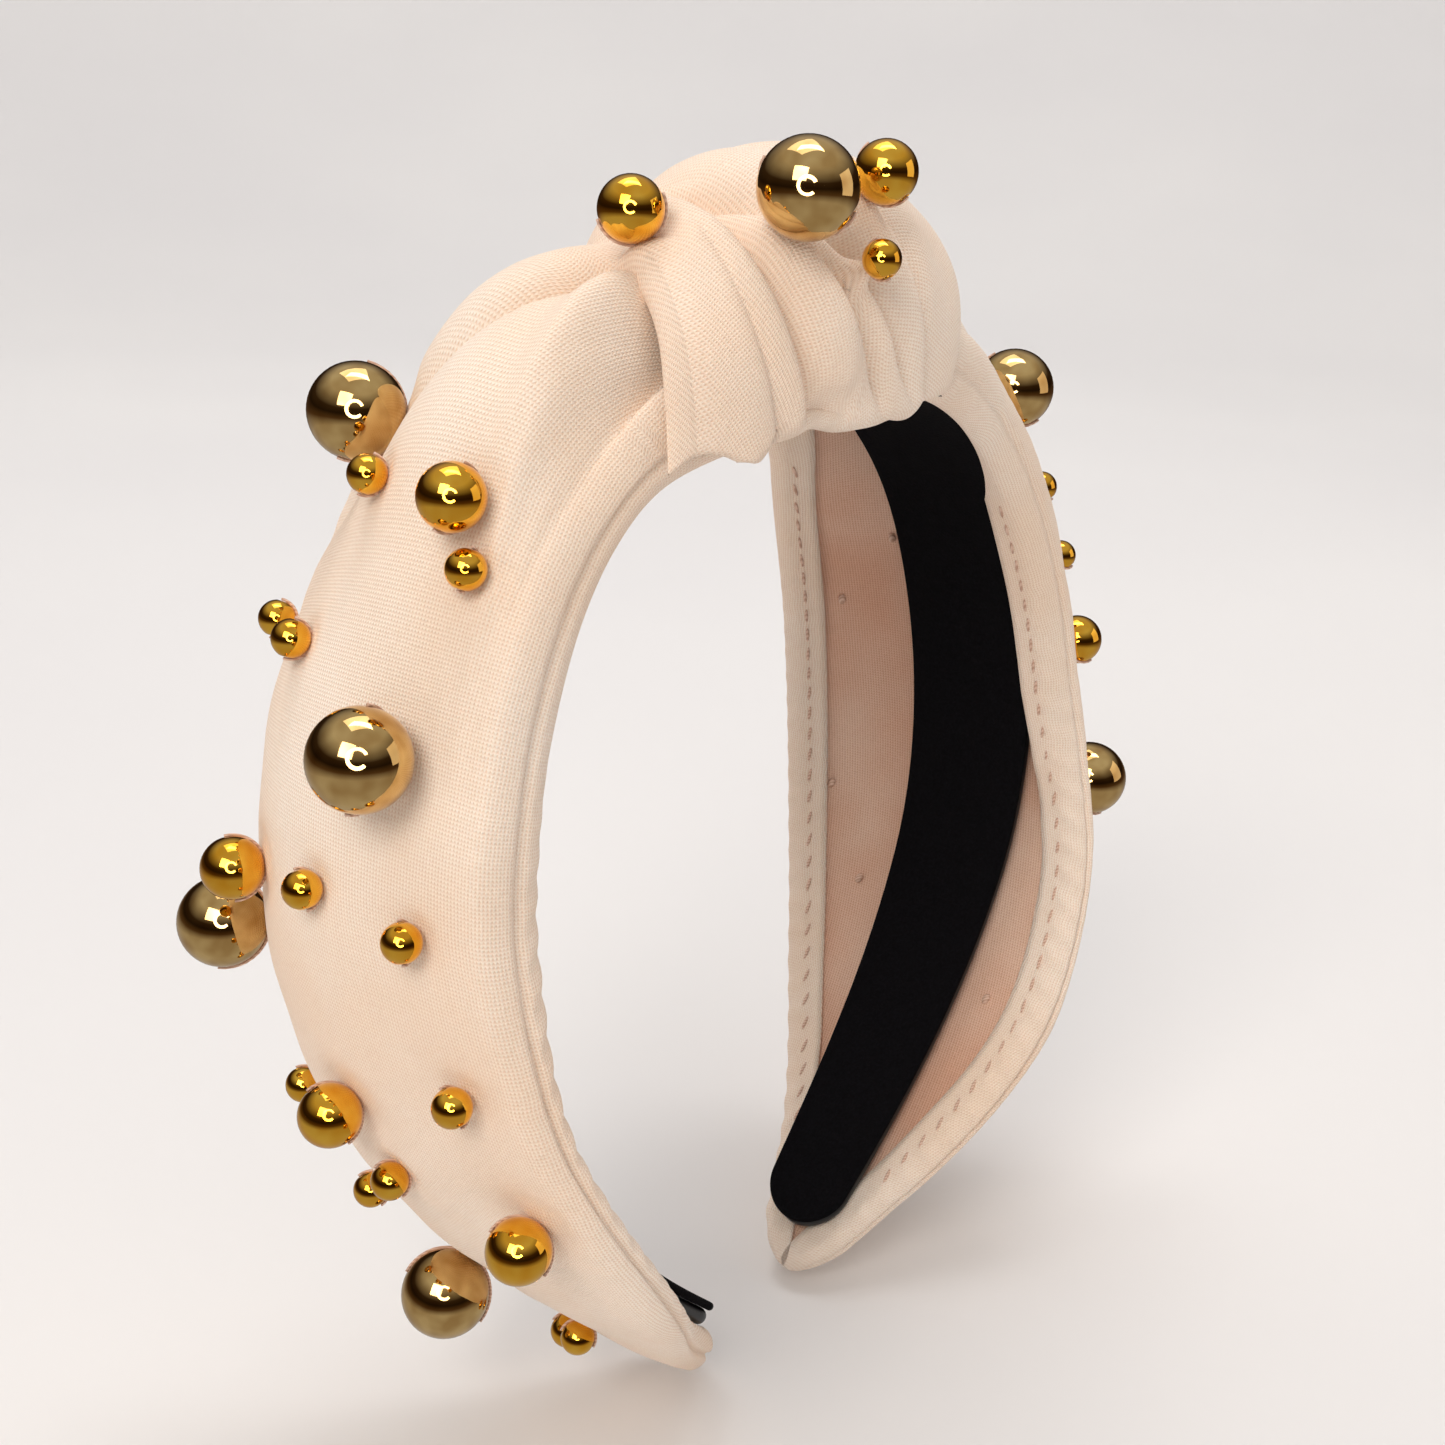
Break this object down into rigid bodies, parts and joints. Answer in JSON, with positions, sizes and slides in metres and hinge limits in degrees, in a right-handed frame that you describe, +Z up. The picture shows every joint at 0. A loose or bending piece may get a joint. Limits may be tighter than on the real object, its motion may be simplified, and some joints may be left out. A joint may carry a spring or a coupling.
{
  "type": "knotted headband",
  "caption": "Padded knit headband with a turban knot over the crown, a lined plastic strip inside and round plated beads sewn on.",
  "frame": {"origin": "middle of the ribbon lining's underside at the crown, where the band rests on the head", "axes": "+X from ear to ear, to the right as seen from the front, -Y towards the front, +Z up through the knot"},
  "size_m": [0.1483, 0.0735, 0.165],
  "materials": {
    "knit_fabric": "blush fine-gauge knit jersey",
    "knit_backing": "blush knit jersey, inner face",
    "foam_padding": "thin open-cell foam",
    "velvet_ribbon": "black velvet ribbon",
    "band_plastic": "black moulded strip",
    "gold_plating": "vacuum-plated bright gold",
    "champagne_plating": "vacuum-plated champagne gold"
  },
  "bodies": {
    "crown": {"bead_knot_1_medium": "gold_plating", "bead_knot_2_large": "champagne_plating", "bead_knot_3_medium": "gold_plating", "bead_knot_4_small": "gold_plating", "knot_core": "knit_fabric", "knot_gather_left": "knit_fabric", "knot_gather_right": "knit_fabric", "knot_wrap": "knit_fabric", "plastic_core_crown": "band_plastic", "ribbon_lining_crown": "velvet_ribbon"},
    "left_arm": {"bead_left_01_large": "champagne_plating", "bead_left_02_small": "gold_plating", "bead_left_03_medium": "gold_plating", "bead_left_04_small": "gold_plating", "bead_left_05_small": "gold_plating", "bead_left_06_small": "gold_plating", "bead_left_07_large": "champagne_plating", "bead_left_08_medium": "gold_plating", "bead_left_09_small": "gold_plating", "bead_left_10_large": "champagne_plating", "bead_left_11_small": "gold_plating", "bead_left_12_small": "gold_plating", "bead_left_13_medium": "gold_plating", "bead_left_14_small": "gold_plating", "bead_left_15_small": "gold_plating", "bead_left_16_small": "gold_plating", "bead_left_17_large": "champagne_plating", "bead_left_18_medium": "gold_plating", "bead_left_19_small": "gold_plating", "bead_left_20_small": "gold_plating", "plastic_core_left": "band_plastic", "ribbon_lining_left": "velvet_ribbon", "wing_backing_left": "knit_backing", "wing_cover_left": "knit_fabric", "wing_foam_left": "foam_padding"},
    "right_arm": {"bead_right_01_large": "champagne_plating", "bead_right_02_small": "gold_plating", "bead_right_03_small": "gold_plating", "bead_right_04_medium": "gold_plating", "bead_right_05_large": "champagne_plating", "bead_right_06_medium": "gold_plating", "bead_right_07_small": "gold_plating", "bead_right_08_small": "gold_plating", "bead_right_09_medium": "gold_plating", "bead_right_10_small": "gold_plating", "bead_right_11_large": "champagne_plating", "bead_right_12_small": "gold_plating", "bead_right_13_small": "gold_plating", "bead_right_14_medium": "gold_plating", "bead_right_15_small": "gold_plating", "bead_right_16_large": "champagne_plating", "bead_right_17_small": "gold_plating", "plastic_core_right": "band_plastic", "ribbon_lining_right": "velvet_ribbon", "wing_backing_right": "knit_backing", "wing_cover_right": "knit_fabric", "wing_foam_right": "foam_padding"}
  },
  "joints": [
    {"name": "left_arm_flex", "type": "hinge", "parent": "crown", "child": "left_arm", "pos_m": [-0.0248, 0, -0.0023], "axis": [0, 1, 0], "range_deg": [-4, 16], "stiffness_Nm_per_rad": 1.9},
    {"name": "right_arm_flex", "type": "hinge", "parent": "crown", "child": "right_arm", "pos_m": [0.0248, 0, -0.0023], "axis": [0, -1, 0], "range_deg": [-4, 16], "stiffness_Nm_per_rad": 1.9}
  ]
}
